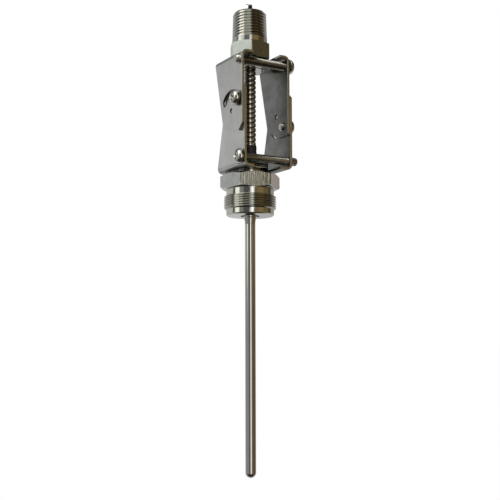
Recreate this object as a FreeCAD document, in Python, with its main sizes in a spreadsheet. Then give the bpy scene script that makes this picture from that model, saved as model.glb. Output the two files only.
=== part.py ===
"""Resistance thermometer probe with an adjustable-angle head and a union nut.

Millimetres, +Z up along the probe. The origin is on the probe's axis at the lower end of the
union nut's thread. The stem hangs below it, and -Y is the side that the head tips towards.
"""
import FreeCAD, Part
import os
import re
import Sketcher
from FreeCAD import Placement, Rotation, Vector

doc = FreeCAD.newDocument("rtd_probe")
sheet = doc.addObject("Spreadsheet::Sheet", "Dims")

DIMENSIONS = {
    # stem: a closed 1/4 in tube
    "stem_dia": 6.35,
    "stem_wall": 0.65,
    "stem_reach": 160,
    "stem_top": 10,
    "stem_seat_dia": 6,
    "tip_wall": 2.4,
    "tip_flat": 0.05,
    # sensing element, leads and packing inside the stem
    "element_dia": 3.2,
    "element_length": 20,
    "element_gap": 0.6,
    "lead_dia": 1.3,
    "lead_circle": 1.25,
    "core_top": 6,
    "core_hole_dia": 1.5,
    "core_play": 0.1,
    # union nut: 1-1/4 in thread, hexagon above it and a plain pilot below
    "union_thread_dia": 31.75,
    "union_thread_length": 7.9,
    "union_root_dia": 29.1,
    "union_undercut": 3.7,
    "union_pilot": 4.4,
    "union_hex": 32.2,
    "union_hex_height": 9,
    "union_mouth_dia": 11.6,
    "union_bore_dia": 9.6,
    "union_shoulder": 3.5,
    "union_play": 0.08,
    "union_turn": 11.2,
    "thread_chamfer": 0.7,
    "hex_chamfer_start": 0.985,
    "hex_chamfer_reach": 0.65,
    "hex_chamfer_slope": 0.5,
    # bushing that the stem is brazed into, and the collar that keeps the nut on it
    "collar_top": 3.2,
    "collar_bottom": 0.5,
    "flange_dia": 22,
    "flange_thickness": 1.2,
    "tenon_dia": 17.6,
    "tenon_length": 6.2,
    "bushing_bore_dia": 5.2,
    "flare_dia": 8.3,
    "flare_top": 4.2,
    "flare_length": 5.2,
    "armour_seat": 3,
    # folded yoke, measured from its hinge axis
    "sheet": 1.5,
    "yoke_width": 33,
    "bend_radius": 2,
    "base_height": 34.8,
    "leg_front": 13.3,
    "leg_rear": 12.05,
    "leg_rear_slope": 0.2456,
    "leg_end": 13.5,
    "slotted_front_cut": 4.1,
    "slotted_end_front": 8.7,
    "slotted_end_rear": 8.6,
    "upper_plain_rear": 7.2,
    "upper_plain_corner": -1,
    "lower_plain_rear": 9.6,
    "lower_plain_corner": 6,
    "edge_round": 1.2,
    "notch_dia": 18,
    "axis_behind_hinge": 7.5,
    "side_shift": 0.8,
    "hinge_height": 56.9,
    # hinge pins
    "pin_dia": 3,
    "pin_clearance": 0.05,
    "pin_recess": 0.5,
    "pin_chamfer": 0.3,
    # lock screws: arc slot round the hinge axis
    "slot_radius": 10,
    "slot_width": 5.5,
    "left_lock_angle": 38,
    "right_lock_angle": 48,
    "slot_lead": 1,
    "slot_travel": 101,
    # M5 screws and washers
    "screw_dia": 5,
    "screw_hole_dia": 5.3,
    "screw_end_chamfer": 0.5,
    "head_dia": 9.5,
    "head_height": 3.1,
    "head_round": 2.9,
    "recess_width": 1.3,
    "recess_length": 5.2,
    "recess_depth": 2,
    "washer_dia": 8.6,
    "washer_thickness": 1,
    "washer_split": 1,
    "slide_gap": 0.1,
    "lock_length": 5.3,
    "cross_front": 9.7,
    "cross_height": 29,
    "upper_cross_length": 36.7,
    "lower_cross_length": 38.7,
    # thin hexagon nuts that hold the yokes
    "retaining_flats": 22,
    "retaining_height": 4.5,
    # flexible armour and the sleeve at its lower end
    "armour_dia": 7.5,
    "armour_root_dia": 6.7,
    "armour_bore_dia": 5.4,
    "armour_pitch": 2.95,
    "armour_ridge": 2,
    "armour_overlap": 0.2,
    "armour_gap": 0.3,
    "sleeve_dia": 8.2,
    "sleeve_top": 38.7,
    # conduit nipple: 1/2 in taper thread, hexagon and tenon
    "nipple_hex": 22.8,
    "nipple_hex_height": 10.3,
    "nipple_turn": 35.9,
    "nipple_thread_dia": 21.6,
    "nipple_thread_length": 16.8,
    "nipple_taper": 0.0625,
    "nipple_pitch": 1.814,
    "nipple_thread_depth": 1.05,
    "nipple_collar": 3.3,
    "nipple_chamfer": 1.4,
    "nipple_bore_dia": 14.4,
    "nipple_web": 3.5,
    "nipple_passage_dia": 5.2,
    # potting and the short lead ends
    "seal_recess": 4,
    "lead_stand": 5.2,
    "lead_step": 0.3,
    "core_dia": 0.7,
    "core_bare": 0.7,
}

for row, (alias, number) in enumerate(DIMENSIONS.items(), start=1):
    sheet.set(f"A{row}", alias.replace("_", " "))
    sheet.set(f"B{row}", str(number))
    sheet.setAlias(f"B{row}", alias)
doc.recompute()


def dim(text):
    """Expression text with every driving dimension named on its sheet."""
    return re.sub("[a-z_]+", lambda word: f"Dims.{word[0]}" if word[0] in DIMENSIONS else word[0], text)


def value(text):
    """Number that an expression has now."""
    found = sheet.evalExpression(dim(text))
    return float(getattr(found, "Value", found))


# Heights that several pieces share
UNION_HEX_BOTTOM = "(union_thread_length + union_undercut)"
UNION_TOP = f"({UNION_HEX_BOTTOM} + union_hex_height)"
LOWER_BASE = "(hinge_height - base_height)"
UPPER_BASE = "(hinge_height + base_height)"
LOWER_FLOOR = f"({LOWER_BASE} + sheet)"
UPPER_FLOOR = f"({UPPER_BASE} - sheet)"
LOWER_TENON_TOP = f"({LOWER_BASE} + tenon_length)"
UPPER_TENON_END = f"({UPPER_BASE} - tenon_length)"
ARMOUR_BOTTOM = f"({LOWER_TENON_TOP} - armour_seat)"
ARMOUR_TOP = f"({UPPER_TENON_END} - armour_gap)"
NIPPLE_HEX_TOP = f"({UPPER_BASE} + nipple_hex_height)"
NIPPLE_THREAD_BOTTOM = f"({NIPPLE_HEX_TOP} + nipple_collar)"
NIPPLE_TOP = f"({NIPPLE_THREAD_BOTTOM} + nipple_thread_length)"
NIPPLE_FLOOR = f"({UPPER_BASE} + nipple_web)"
SEAL_TOP = f"({NIPPLE_TOP} - seal_recess)"
ELEMENT_TOP = "(0 - stem_reach + tip_wall + element_gap + element_length)"
HINGE_Y = "(0 - axis_behind_hinge)"


def new_body(label):
    body = doc.addObject("PartDesign::Body", label)
    body.Label = label
    return body


def new_sketch(body, name, role):
    """Sketch on one of the body's own origin planes."""
    sketch = body.newObject("Sketcher::SketchObject", name)
    plane = [item for item in body.Origin.OriginFeatures if item.Role == role][0]
    sketch.AttachmentSupport = (plane, [""])
    sketch.MapMode = "FlatFace"
    return sketch


def hold(sketch, kind, geometry, point, text):
    """Dimension on a sketch point or circle, bound to the sheet."""
    place = (geometry,) if point is None else (geometry, point)
    index = sketch.addConstraint(Sketcher.Constraint(kind, *place, value(text)))
    sketch.setExpression(f"Constraints[{index}]", dim(text))


def outline(sketch, corners):
    """Closed line through corners, each a pair of expressions."""
    first = sketch.GeometryCount
    count = len(corners)
    spots = [Vector(value(x), value(y), 0) for x, y in corners]
    for i, spot in enumerate(spots):
        sketch.addGeometry(Part.LineSegment(spot, spots[(i + 1) % count]), False)
    for i in range(count):
        after = first + (i + 1) % count
        sketch.addConstraint(Sketcher.Constraint("Coincident", first + i, 2, after, 1))
    for i, (x, y) in enumerate(corners):
        hold(sketch, "DistanceX", first + i, 1, x)
        hold(sketch, "DistanceY", first + i, 1, y)


def circle(sketch, x, y, diameter):
    centre = Vector(value(x), value(y), 0)
    round_one = sketch.addGeometry(Part.Circle(centre, Vector(0, 0, 1), value(diameter) / 2), False)
    hold(sketch, "DistanceX", round_one, 3, x)
    hold(sketch, "DistanceY", round_one, 3, y)
    hold(sketch, "Diameter", round_one, None, diameter)


def feature(body, kind, name, sketch, **settings):
    """Sketch-based feature; a text setting is an expression, unless it names a mode."""
    made = body.newObject(f"PartDesign::{kind}", name)
    made.Profile = sketch
    for key, setting in settings.items():
        if key in ("Type", "SideType") or not isinstance(setting, str):
            setattr(made, key, setting)
        else:
            made.setExpression(key, dim(setting))
    return made


def turned(body, name, corners, kind="Revolution"):
    """Profile in radius and height, turned about the body's Z axis."""
    sketch = new_sketch(body, name + "_profile", "XZ_Plane")
    outline(sketch, corners)
    return feature(body, kind, name, sketch, ReferenceAxis=(sketch, ["V_Axis"]), Angle=360.0)


def hexagon_corners(flats):
    return [(f"{flats} / sqrt(3) * cos({angle}deg)", f"{flats} / sqrt(3) * sin({angle}deg)")
            for angle in range(30, 390, 60)]


def hexagon(body, name, flats, bottom, height, bore):
    """Hexagonal prism with a round hole, its corners chamfered at both ends."""
    sketch = new_sketch(body, name + "_section", "XY_Plane")
    outline(sketch, hexagon_corners(flats))
    circle(sketch, "0", "0", bore)
    sketch.setExpression("AttachmentOffset.Base.z", dim(bottom))
    feature(body, "Pad", name, sketch, Length=height)
    inner = f"{flats} / 2 * hex_chamfer_start"
    outer = f"{flats} * hex_chamfer_reach"
    drop = f"({outer} - {inner}) * hex_chamfer_slope"
    top = f"({bottom} + {height})"
    turned(body, name + "_lower_chamfer",
           [(inner, bottom), (outer, bottom), (outer, f"{bottom} + {drop}")], "Groove")
    turned(body, name + "_upper_chamfer",
           [(inner, top), (outer, f"{top} - {drop}"), (outer, top)], "Groove")


def rounded(body, name, radius, wanted):
    """Fillet on the tip's edges that wanted accepts."""
    doc.recompute()
    tip = body.Tip
    edges = [f"Edge{i}" for i, edge in enumerate(tip.Shape.Edges, start=1) if wanted(edge)]
    fillet = body.newObject("PartDesign::Fillet", name)
    fillet.Base = (tip, edges)
    fillet.setExpression("Radius", dim(radius))


def place(item, x, y, z, rotation=Rotation()):
    item.Placement = Placement(Vector(value(x), value(y), value(z)), rotation)
    for axis, text in zip("xyz", (x, y, z)):
        item.setExpression(f"Placement.Base.{axis}", dim(text))


def turn_about_axis(item, angle):
    """Turn a piece about the probe's axis."""
    item.Placement = Placement(Vector(), Rotation(Vector(0, 0, 1), value(angle)))
    item.setExpression("Placement.Rotation.Angle", dim(f"{angle} * 1deg"))


def cylinder(name, diameter, height, x="0", y="0", z="0"):
    made = doc.addObject("Part::Cylinder", name)
    made.setExpression("Radius", dim(f"({diameter}) / 2"))
    made.setExpression("Height", dim(height))
    place(made, x, y, z)
    return made


def cut(label, base, tool):
    made = doc.addObject("Part::Cut", label)
    made.Base = base
    made.Tool = tool
    return made


def group(label, members):
    made = doc.addObject("Part::Compound", label)
    made.Links = members
    return made


def lead_spots():
    """Places of the three leads round the axis."""
    return [(f"lead_circle * cos({angle}deg)", f"lead_circle * sin({angle}deg)")
            for angle in (90, 210, 330)]


def stem_sheath():
    """Closed tube with a round tip, turned down where it goes into the collar and the bushing."""
    body = new_body("stem_sheath")
    stem = "stem_dia / 2"
    seat = "stem_seat_dia / 2"
    room = "(stem_dia / 2 - stem_wall)"
    tip = "(0 - stem_reach)"
    flare_end = "0 - flare_top - flare_length"
    turned(body, "sheath_turning", [
        ("0", tip), (stem, tip), (stem, flare_end), (seat, flare_end), (seat, "stem_top"),
        (room, "stem_top"), (room, f"{tip} + tip_wall"), ("0", f"{tip} + tip_wall")])
    rounded(body, "sheath_tip", "stem_dia / 2 - tip_flat",
            lambda edge: edge.Closed and abs(edge.BoundBox.ZMax - value(tip)) < 1e-4)
    return body


def rtd_element():
    return cylinder("rtd_element", "element_dia", "element_length",
                    z="0 - stem_reach + tip_wall + element_gap")


def insulation_core():
    packing = cylinder("packing", "stem_dia - 2 * stem_wall - core_play",
                       f"core_top - {ELEMENT_TOP}", z=ELEMENT_TOP)
    holes = [cylinder(f"packing_hole_{i}", "core_hole_dia", "2 * stem_reach", x, y, "0 - stem_reach")
             for i, (x, y) in enumerate(lead_spots())]
    return cut("insulation_core", packing, group("packing_holes", holes))


def stem_leads():
    return group("stem_leads", [
        cylinder(f"stem_lead_{i}", "lead_dia", f"{ARMOUR_TOP} - {ELEMENT_TOP}", x, y, ELEMENT_TOP)
        for i, (x, y) in enumerate(lead_spots())])


def stem_bushing():
    body = new_body("stem_bushing")
    stem = "stem_seat_dia / 2"
    bore = "bushing_bore_dia / 2"
    seat = "armour_dia / 2"
    neck = "(union_bore_dia / 2 - union_play)"
    flange = "flange_dia / 2"
    tenon = "tenon_dia / 2"
    turned(body, "bushing_turning", [
        (stem, "collar_top"), (neck, "collar_top"), (neck, f"{LOWER_BASE} - flange_thickness"),
        (flange, f"{LOWER_BASE} - flange_thickness"), (flange, LOWER_BASE), (tenon, LOWER_BASE),
        (tenon, f"{LOWER_TENON_TOP} - thread_chamfer"), (f"{tenon} - thread_chamfer", LOWER_TENON_TOP),
        (seat, LOWER_TENON_TOP), (seat, ARMOUR_BOTTOM), (bore, ARMOUR_BOTTOM), (bore, "stem_top"),
        (stem, "stem_top")])
    return body


def stem_collar():
    """Ring brazed on the stem below the bushing, with the braze drawn down to a flare."""
    body = new_body("stem_collar")
    stem = "stem_seat_dia / 2"
    flare = "flare_dia / 2"
    collar = "(union_mouth_dia / 2 - union_play)"
    turned(body, "collar_turning", [
        (stem, "0 - flare_top - flare_length"), ("stem_dia / 2", "0 - flare_top - flare_length"),
        (flare, "0 - flare_top"), (flare, "0 - collar_bottom"),
        (collar, "0 - collar_bottom"), (collar, "collar_top"), (stem, "collar_top")])
    return body


def union_nut():
    body = new_body("union_nut")
    root = "union_root_dia / 2"
    thread = "union_thread_dia / 2"
    mouth = "union_mouth_dia / 2"
    bore = "union_bore_dia / 2"
    turned(body, "nut_turning", [
        (mouth, "0 - union_pilot"), (f"{root} - thread_chamfer", "0 - union_pilot"),
        (root, "0 - union_pilot + thread_chamfer"), (root, "0 - thread_chamfer"), (thread, "0"),
        (thread, "union_thread_length - thread_chamfer"), (root, "union_thread_length"),
        (root, UNION_TOP), (bore, UNION_TOP), (bore, "union_shoulder"), (mouth, "union_shoulder")])
    hexagon(body, "nut_hexagon", "union_hex", UNION_HEX_BOTTOM, "union_hex_height", "union_mouth_dia")
    turn_about_axis(body, "union_turn")
    return body


def pipe_thread():
    """Taper thread's outline as a row of rings, in shares of the pitch for crest and root."""
    turns = int(value("(nipple_thread_length - nipple_chamfer) / nipple_pitch"))
    corners = []
    for turn in range(turns):
        for share, depth in ((0.0625, 0), (0.4375, 1), (0.5625, 1), (0.9375, 0)):
            rise = f"nipple_pitch * {turn + share}"
            crest = f"nipple_thread_dia / 2 - {rise} * nipple_taper / 2"
            corners.append((f"{crest} - {depth} * nipple_thread_depth", f"{NIPPLE_THREAD_BOTTOM} + {rise}"))
    return corners


def conduit_nipple():
    body = new_body("conduit_nipple")
    tenon = "tenon_dia / 2"
    thread = "nipple_thread_dia / 2"
    small_end = f"({thread} - nipple_thread_length * nipple_taper / 2)"
    passage = "nipple_passage_dia / 2"
    bore = "nipple_bore_dia / 2"
    turned(body, "nipple_turning", [
        (passage, UPPER_TENON_END), (f"{tenon} - thread_chamfer", UPPER_TENON_END),
        (tenon, f"{UPPER_TENON_END} + thread_chamfer"), (tenon, UPPER_BASE),
        (thread, UPPER_BASE), *pipe_thread(),
        (small_end, f"{NIPPLE_TOP} - nipple_chamfer"), (f"{small_end} - nipple_chamfer", NIPPLE_TOP),
        (bore, NIPPLE_TOP), (bore, NIPPLE_FLOOR), (passage, NIPPLE_FLOOR)])
    hexagon(body, "nipple_hexagon", "nipple_hex", UPPER_BASE, "nipple_hex_height", "tenon_dia")
    turn_about_axis(body, "nipple_turn")
    return body


def bend_edges(x, z):
    """Test for the fold lines, which run along Y at the given distance and height."""
    def wanted(edge):
        ends = [vertex.Point for vertex in edge.Vertexes]
        in_line = abs(ends[0].x - ends[-1].x) < 1e-4
        return in_line and all(abs(abs(p.x) - value(x)) + abs(p.z - value(z)) < 1e-4 for p in ends)
    return wanted


def leg_corner(edge):
    """Test for the short edges across the sheet at a leg's free end."""
    ends = [vertex.Point for vertex in edge.Vertexes]
    if len(ends) < 2 or (ends[0] - ends[1]).cross(Vector(1, 0, 0)).Length > 1e-6:
        return False
    return ends[0].z < 0 and edge.Length < 2 * value("sheet") and edge.Curve.TypeId == "Part::GeomLine"


def bracket(level, slot_angle, hole_angle):
    """Folded yoke, modelled about its hinge axis with the base above and the slotted leg at -X."""
    label = f"{level}_bracket"
    body = new_body(label)
    outer = "yoke_width / 2"
    inner = "(yoke_width / 2 - sheet)"
    floor = "(base_height - sheet)"
    end = "(0 - leg_end)"
    front = "(0 - leg_front)"
    section = new_sketch(body, label + "_fold", "XZ_Plane")
    outline(section, [
        (f"0 - {outer}", end), (f"0 - {inner}", end), (f"0 - {inner}", floor), (inner, floor),
        (inner, end), (outer, end), (outer, "base_height"), (f"0 - {outer}", "base_height")])
    feature(body, "Pad", label + "_strip", section, Length="4 * leg_front", SideType="Symmetric")
    rounded(body, label + "_inner_bends", "bend_radius", bend_edges(inner, floor))
    rounded(body, label + "_outer_bends", "bend_radius + sheet", bend_edges(outer, "base_height"))

    over = "2 * base_height"
    side = "3 * leg_front"

    def rear(height):
        return f"leg_rear + leg_rear_slope * ({height})"

    def trim(name, leg, reverse):
        """Remove what lies outside one leg's outline."""
        sketch = new_sketch(body, name, "YZ_Plane")
        outline(sketch, [(f"0 - {side}", f"0 - {over}"), (side, f"0 - {over}"), (side, over),
                         (f"0 - {side}", over)])
        outline(sketch, leg + [(rear("1.5 * base_height"), "1.5 * base_height"),
                               (front, "1.5 * base_height")])
        feature(body, "Pocket", name + "_trim", sketch, Type="ThroughAll", Reversed=reverse)

    trim(label + "_slotted_leg", [
        (front, f"{end} + slotted_front_cut"), ("0 - slotted_end_front", end),
        (rear("0 - slotted_end_rear"), "0 - slotted_end_rear")], False)
    trim(label + "_plain_leg", [
        (front, end), (f"{level}_plain_corner", end),
        (rear(f"0 - {level}_plain_rear"), f"0 - {level}_plain_rear")], True)
    rounded(body, label + "_leg_corners", "edge_round", leg_corner)

    notch = new_sketch(body, label + "_notch", "XY_Plane")
    near = "(side_shift - notch_dia / 2)"
    far = "(side_shift + notch_dia / 2)"
    outline(notch, [(near, "0 - 2 * leg_front"), (far, "0 - 2 * leg_front"),
                    (far, "axis_behind_hinge"), (near, "axis_behind_hinge")])
    feature(body, "Pocket", label + "_notch_cut", notch, Type="ThroughAll", Reversed=True)
    seat = new_sketch(body, label + "_seat", "XY_Plane")
    circle(seat, "side_shift", "axis_behind_hinge", "notch_dia")
    feature(body, "Pocket", label + "_seat_cut", seat, Type="ThroughAll", Reversed=True)

    def drill(name, holes, reverse):
        sketch = new_sketch(body, name, "YZ_Plane")
        for y, z, diameter in holes:
            circle(sketch, y, z, diameter)
        feature(body, "Pocket", name + "_cut", sketch, Type="ThroughAll", Reversed=reverse)

    def on_slot(angle):
        return (f"0 - slot_radius * cos(({angle}) * 1deg)", f"slot_radius * sin(({angle}) * 1deg)")

    cross = ("0 - cross_front", "cross_height")
    lock_y, lock_z = on_slot(hole_angle)
    drill(label + "_slotted_holes", [
        ("0", "0", "pin_dia + 2 * pin_clearance"), (*cross, "screw_dia"),
        (*on_slot(f"{slot_angle} - slot_lead"), "slot_width")], False)
    drill(label + "_slot_end", [(*on_slot(f"{slot_angle} + slot_travel"), "slot_width")], False)
    drill(label + "_plain_holes", [
        ("0", "0", "pin_dia"), (*cross, "screw_hole_dia"), (lock_y, f"0 - ({lock_z})", "screw_dia")], True)

    slot = new_sketch(body, label + "_slot", "XY_Plane")
    start = f"({slot_angle} - slot_lead)"
    slot.AttachmentOffset = Placement(Vector(), Rotation(Vector(1, 0, 0), -value(start)))
    slot.setExpression("AttachmentOffset.Rotation.Angle", dim(f"{start} * -1deg"))
    outline(slot, [
        (f"0 - {outer} - sheet", "0 - slot_radius - slot_width / 2"),
        (f"0 - {inner} + sheet", "0 - slot_radius - slot_width / 2"),
        (f"0 - {inner} + sheet", "0 - slot_radius + slot_width / 2"),
        (f"0 - {outer} - sheet", "0 - slot_radius + slot_width / 2")])
    feature(body, "Groove", label + "_slot_cut", slot, ReferenceAxis=(slot, ["H_Axis"]),
            Angle="(slot_lead + slot_travel) * 1deg", Reversed=True)
    return body


def retaining_nut(label):
    body = new_body(label)
    hexagon(body, label + "_hexagon", "retaining_flats", "0", "retaining_height", "tenon_dia")
    return body


def pan_screw(label, length):
    """Screw along its own Z axis, its head standing on the XY plane and its shank below."""
    body = new_body(label)
    shank = "screw_dia / 2"
    head = "head_dia / 2"
    turned(body, label + "_blank", [
        ("0", f"0 - {length}"), (f"{shank} - screw_end_chamfer", f"0 - {length}"),
        (shank, f"0 - {length} + screw_end_chamfer"), (shank, "0"), (head, "0"),
        (head, "head_height"), ("0", "head_height")])
    top = value("head_height")
    rounded(body, label + "_head_round", "head_round",
            lambda edge: edge.Closed and abs(edge.BoundBox.ZMin - top) < 1e-4)
    arm = "recess_length / 2"
    half = "recess_width / 2"
    cross = new_sketch(body, label + "_recess", "XY_Plane")
    cross.setExpression("AttachmentOffset.Base.z", dim("head_height"))
    outline(cross, [
        (half, half), (arm, half), (arm, f"0 - {half}"), (half, f"0 - {half}"), (half, f"0 - {arm}"),
        (f"0 - {half}", f"0 - {arm}"), (f"0 - {half}", f"0 - {half}"), (f"0 - {arm}", f"0 - {half}"),
        (f"0 - {arm}", half), (f"0 - {half}", half), (f"0 - {half}", arm), (half, arm)][::-1])
    feature(body, "Pocket", label + "_recess_cut", cross, Length="recess_depth")
    return body


def lock_washer(label):
    """Split ring lying on its own XY plane."""
    ring = cut(label + "_ring", cylinder(label + "_disc", "washer_dia", "washer_thickness"),
               cylinder(label + "_hole", "screw_hole_dia", "washer_thickness"))
    split = doc.addObject("Part::Box", label + "_split")
    split.setExpression("Length", dim("washer_dia"))
    split.setExpression("Width", dim("washer_split"))
    split.setExpression("Height", dim("washer_thickness"))
    place(split, "0", "0 - washer_split / 2", "0")
    return cut(label, ring, split)


def pivot_pin(label):
    """Hinge pin along its own Z axis, sunk below the faces of the two legs that it joins."""
    body = new_body(label)
    shank = "pin_dia / 2"
    tip = "(2 * sheet + slide_gap - pin_recess)"
    turned(body, label + "_turning", [
        ("0", "pin_recess"), (f"{shank} - pin_chamfer", "pin_recess"), (shank, "pin_recess + pin_chamfer"),
        (shank, f"{tip} - pin_chamfer"), (f"{shank} - pin_chamfer", tip), ("0", tip)])
    return body


def flex_armour():
    """Strip-wound hose: a thin tube with one rounded-off ridge for each turn of the strip."""
    body = new_body("flex_armour")
    root = "armour_root_dia / 2"
    crest = "armour_dia / 2"
    bore = "armour_bore_dia / 2"
    turned(body, "armour_tube", [(bore, ARMOUR_BOTTOM), (root, ARMOUR_BOTTOM), (root, ARMOUR_TOP),
                                 (bore, ARMOUR_TOP)])
    start = f"({ARMOUR_BOTTOM} + armour_pitch - armour_ridge)"
    slope = "(armour_dia - armour_root_dia) / 4"
    ridge = turned(body, "armour_turn", [
        (f"{root} - armour_overlap", start), (root, start), (crest, f"{start} + {slope}"),
        (crest, f"{start} + armour_ridge - {slope}"), (root, f"{start} + armour_ridge"),
        (f"{root} - armour_overlap", f"{start} + armour_ridge")])
    turns = int((value(ARMOUR_TOP) - value(ARMOUR_BOTTOM)) / value("armour_pitch"))
    rows = body.newObject("PartDesign::LinearPattern", "armour_turns")
    rows.Originals = [ridge]
    rows.Direction = (ridge.Profile[0], ["V_Axis"])
    rows.Occurrences = turns
    rows.setExpression("Length", dim(f"armour_pitch * {turns - 1}"))
    body.Tip = rows
    return body


def shrink_sleeve():
    body = new_body("shrink_sleeve")
    turned(body, "sleeve_tube", [
        ("armour_dia / 2", LOWER_TENON_TOP), ("sleeve_dia / 2", LOWER_TENON_TOP),
        ("sleeve_dia / 2", "sleeve_top"), ("armour_dia / 2", "sleeve_top")])
    return body


def lead_seal():
    plug = cylinder("seal_plug", "nipple_bore_dia", f"{SEAL_TOP} - {NIPPLE_FLOOR}", z=NIPPLE_FLOOR)
    holes = [cylinder(f"seal_hole_{i}", "lead_dia", "nipple_thread_length * 4", x, y, UPPER_TENON_END)
             for i, (x, y) in enumerate(lead_spots())]
    return cut("lead_seal", plug, group("seal_holes", holes))


def lead_end(i):
    """Height where one head lead's insulation stops."""
    return f"({NIPPLE_TOP} + lead_stand - {i} * lead_step)"


def head_leads():
    return group("head_leads", [
        cylinder(f"head_lead_{i}", "lead_dia", f"{lead_end(i)} - {UPPER_TENON_END}", x, y, UPPER_TENON_END)
        for i, (x, y) in enumerate(lead_spots())])


def lead_cores():
    return group("lead_cores", [
        cylinder(f"lead_core_{i}", "core_dia", "core_bare", x, y, lead_end(i))
        for i, (x, y) in enumerate(lead_spots())])


TURN_OVER = Rotation(Vector(0, 1, 0), 180)
HEAD_RIGHT = Rotation(Vector(0, 1, 0), 90)
HEAD_LEFT = Rotation(Vector(0, 1, 0), -90)


def yoke_side(upper):
    """Pieces of one yoke. The two are nearly alike, one turned over about the Y axis."""
    level = "upper" if upper else "lower"
    lock, other = ("right", "left") if upper else ("left", "right")
    across = "" if upper else "0 - "
    up = "hinge_height +" if upper else "hinge_height -"
    turn = Rotation() if upper else TURN_OVER
    outward = HEAD_RIGHT if upper else HEAD_LEFT

    def x_at(text):
        return f"{across}({text})"

    lock_angle = f"{lock}_lock_angle"
    yoke = bracket(level, f"{other}_lock_angle", lock_angle)
    place(yoke, x_at("0 - side_shift"), HINGE_Y, "hinge_height", turn)

    plain_outer = "(yoke_width / 2 - side_shift)"
    plain_inner = f"({plain_outer} - sheet)"
    slotted_outer = "(yoke_width / 2 + side_shift)"

    nut = retaining_nut(f"{level}_retaining_nut")
    floor = f"{UPPER_FLOOR} - retaining_height" if upper else LOWER_FLOOR
    place(nut, "0", "0", floor, Rotation(Vector(0, 0, 1), 30))

    cross_y = f"{HINGE_Y} - cross_front"
    cross_z = f"{up} cross_height"
    washer = lock_washer(f"{level}_cross_washer")
    place(washer, x_at(plain_outer), cross_y, cross_z, outward)
    screw = pan_screw(f"{level}_cross_screw", f"{level}_cross_length")
    place(screw, x_at(f"{plain_outer} + washer_thickness"), cross_y, cross_z, outward)

    lock_y = f"{HINGE_Y} - slot_radius * cos({lock_angle} * 1deg)"
    lock_z = f"hinge_height {'-' if upper else '+'} slot_radius * sin({lock_angle} * 1deg)"
    lock_face = f"{slotted_outer} + slide_gap"
    ring = lock_washer(f"{lock}_lock_washer")
    place(ring, x_at(lock_face), lock_y, lock_z, outward)
    clamp = pan_screw(f"{lock}_lock_screw", "lock_length")
    place(clamp, x_at(f"{lock_face} + washer_thickness"), lock_y, lock_z, outward)

    pin = pivot_pin(f"{lock}_pivot_pin")
    place(pin, x_at(plain_inner), HINGE_Y, "hinge_height", outward)
    return [yoke, nut, washer, screw, ring, clamp, pin]


pieces = [
    stem_sheath(), rtd_element(), insulation_core(), stem_leads(), stem_bushing(), stem_collar(),
    union_nut(), conduit_nipple(), flex_armour(), shrink_sleeve(), lead_seal(), head_leads(), lead_cores(),
    *yoke_side(upper=False), *yoke_side(upper=True)]
doc.recompute()

for item in doc.Objects:
    if "Invalid" in item.State or "Error" in item.State:
        raise RuntimeError(f"{item.Name} failed: {item.State}")
for piece in pieces:
    if piece.Shape.isNull() or not piece.Shape.isValid():
        raise RuntimeError(f"{piece.Label} has no valid shape")

os.makedirs("parts", exist_ok=True)
for piece in pieces:
    piece.Shape.exportStep(f"parts/{piece.Label}.step")
    box = piece.Shape.BoundBox
    print(f"{piece.Label:22s} solids {len(piece.Shape.Solids)} volume {piece.Shape.Volume:9.1f}"
          f" z {box.ZMin:8.2f} {box.ZMax:8.2f}")
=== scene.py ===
"""Looks of a resistance thermometer probe with a tipping yoke head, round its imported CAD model.

Lengths are millimetres until they reach Blender, which has metres. +Z is up along the probe.
"""
import bmesh
import bpy
import math
from mathutils import Matrix, Vector


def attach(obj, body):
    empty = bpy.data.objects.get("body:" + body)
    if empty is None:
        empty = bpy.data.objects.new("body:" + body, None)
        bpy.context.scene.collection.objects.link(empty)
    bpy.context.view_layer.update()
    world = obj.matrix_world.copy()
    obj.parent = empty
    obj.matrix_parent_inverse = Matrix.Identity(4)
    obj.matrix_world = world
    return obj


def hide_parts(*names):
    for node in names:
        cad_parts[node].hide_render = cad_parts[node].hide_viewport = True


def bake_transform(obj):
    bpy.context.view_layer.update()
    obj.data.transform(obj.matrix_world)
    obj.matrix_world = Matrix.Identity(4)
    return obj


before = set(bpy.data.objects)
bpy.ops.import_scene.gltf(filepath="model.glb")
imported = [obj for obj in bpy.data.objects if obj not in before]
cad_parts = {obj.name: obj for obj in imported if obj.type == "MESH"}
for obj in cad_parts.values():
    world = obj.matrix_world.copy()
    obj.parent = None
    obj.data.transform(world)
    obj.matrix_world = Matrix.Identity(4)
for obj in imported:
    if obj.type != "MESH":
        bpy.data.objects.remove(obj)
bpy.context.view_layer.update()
scene = bpy.context.scene
scene.view_settings.view_transform = "Standard"

MM = 0.001
STEM = "stem_assembly"
HEAD = "head_assembly"
NUT = "union_nut"


# Shader wiring

class Wire:
    """Output socket of a shader node; arithmetic on it adds Math nodes."""

    def __init__(self, bench, output):
        self.bench = bench
        self.output = output

    def maths(self, operation, *terms):
        return self.bench.node("ShaderNodeMath", {"operation": operation}, dict(enumerate(terms)))

    def __add__(self, other):
        return self.maths("ADD", self, other)

    def __radd__(self, other):
        return self.maths("ADD", other, self)

    def __sub__(self, other):
        return self.maths("SUBTRACT", self, other)

    def __rsub__(self, other):
        return self.maths("SUBTRACT", other, self)

    def __mul__(self, other):
        return self.maths("MULTIPLY", self, other)

    def __rmul__(self, other):
        return self.maths("MULTIPLY", other, self)

    def __truediv__(self, other):
        return self.maths("DIVIDE", self, other)

    def __pow__(self, other):
        return self.maths("POWER", self, other)


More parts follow.
